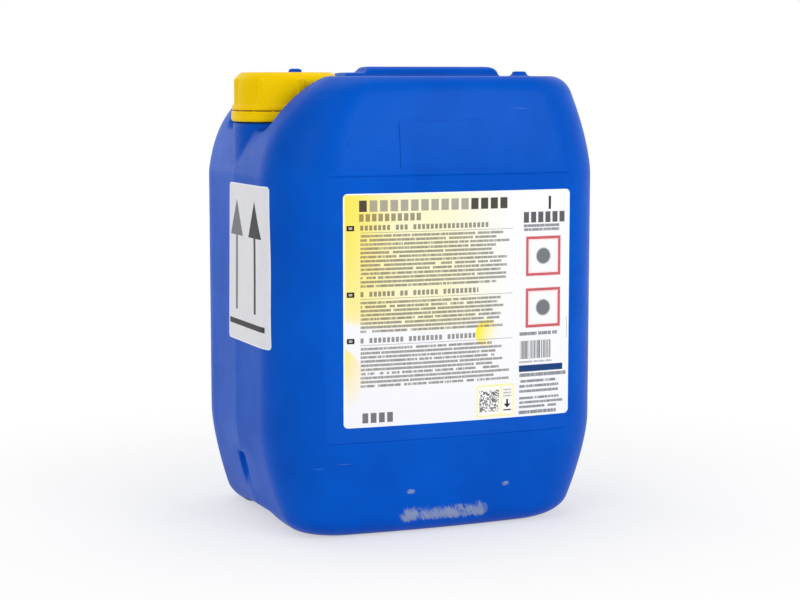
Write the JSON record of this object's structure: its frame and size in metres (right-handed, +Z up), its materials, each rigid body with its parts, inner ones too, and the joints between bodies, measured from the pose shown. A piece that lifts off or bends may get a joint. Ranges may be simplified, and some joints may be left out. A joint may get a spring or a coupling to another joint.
{
  "type": "stackable plastic canister",
  "caption": "Blown plastic canister with a moulded carrying handle, ribbed screw cap with liner, tamper-evident ring and plain printed labels.",
  "frame": {"origin": "middle of the footprint, on the ground", "axes": "+Z up, the wide labelled front faces -Y, and the narrow end with the cap faces -X"},
  "size_m": [0.2402, 0.1971, 0.311],
  "materials": {
    "blue_plastic": "satin blow-moulded polyethylene",
    "yellow_plastic": "satin injection-moulded polyethylene",
    "liner_foam": "matt foamed polyethylene",
    "label_film": "printed plastic film",
    "label_paper": "matt printed label"
  },
  "bodies": {
    "can": {"can_body": "blue_plastic", "tamper_ring": "yellow_plastic", "main_label": "label_film", "arrow_label": "label_paper"},
    "liner": {"cap_liner": "liner_foam"},
    "cap": {"screw_cap": "yellow_plastic"}
  },
  "joints": [
    {"name": "cap_rise", "type": "slide", "parent": "can", "child": "liner", "axis": [0, 0, 1], "range_m": [0, 0.0241]},
    {"name": "cap_turn", "type": "hinge", "parent": "liner", "child": "cap", "pos_m": [-0.082, 0, 0.29], "axis": [0, 0, 1], "range_deg": [0, 1440]}
  ],
  "couplings": [
    {"joint": "cap_rise", "follows": "cap_turn", "m_per_rad": 0.00095493}
  ]
}
